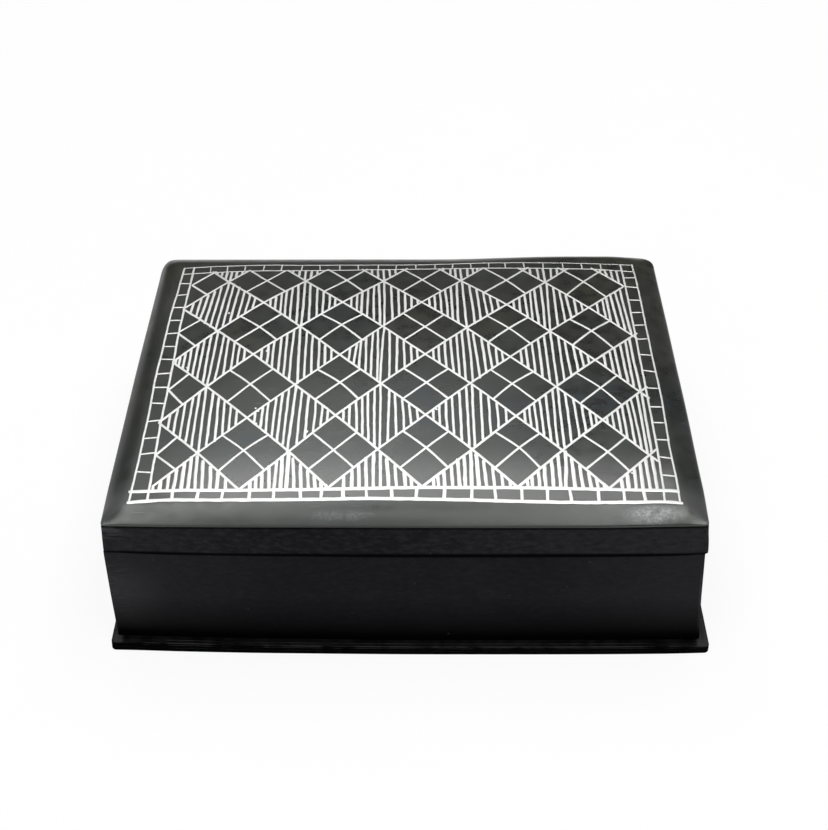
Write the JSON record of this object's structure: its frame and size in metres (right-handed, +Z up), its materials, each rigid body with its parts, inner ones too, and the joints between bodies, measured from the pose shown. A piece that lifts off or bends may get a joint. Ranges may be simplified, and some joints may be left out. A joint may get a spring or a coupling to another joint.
{
  "type": "bidri box",
  "caption": "Low rectangular hinged box of blackened metal with a gently domed lid inlaid with a silver wire lattice, velvet-lined inside.",
  "frame": {"origin": "middle of the underside of the base plate", "axes": "+X to the right seen from the front, +Y to the rear where the hinges are, +Z up"},
  "size_m": [0.158, 0.1268, 0.0487],
  "materials": {
    "blackened_alloy": "satin black patina on cast zinc alloy",
    "silver_wire": "burnished silver wire",
    "hinge_brass": "satin",
    "velvet": "velvet on padded card"
  },
  "bodies": {
    "box": {"base_plate": "blackened_alloy", "front_wall": "blackened_alloy", "rear_wall": "blackened_alloy", "left_wall": "blackened_alloy", "right_wall": "blackened_alloy", "floor_lining": "velvet", "front_lining": "velvet", "rear_lining": "velvet", "left_lining": "velvet", "right_lining": "velvet", "hinge_left_body_leaf": "hinge_brass", "hinge_right_body_leaf": "hinge_brass", "hinge_left_pin": "hinge_brass", "hinge_right_pin": "hinge_brass", "rivet_left_body_1": "hinge_brass", "rivet_left_body_2": "hinge_brass", "rivet_right_body_1": "hinge_brass", "rivet_right_body_2": "hinge_brass"},
    "lid": {"lid_plate": "blackened_alloy", "lid_front_rim": "blackened_alloy", "lid_rear_rim": "blackened_alloy", "lid_left_rim": "blackened_alloy", "lid_right_rim": "blackened_alloy", "lid_lining": "velvet", "silver_inlay": "silver_wire", "hinge_left_lid_leaf": "hinge_brass", "hinge_right_lid_leaf": "hinge_brass", "rivet_left_lid_1": "hinge_brass", "rivet_left_lid_2": "hinge_brass", "rivet_right_lid_1": "hinge_brass", "rivet_right_lid_2": "hinge_brass"}
  },
  "joints": [
    {"name": "lid_hinge", "type": "hinge", "parent": "box", "child": "lid", "pos_m": [0, 0.0589, 0.0344], "axis": [-1, 0, 0], "range_deg": [0, 98]}
  ]
}
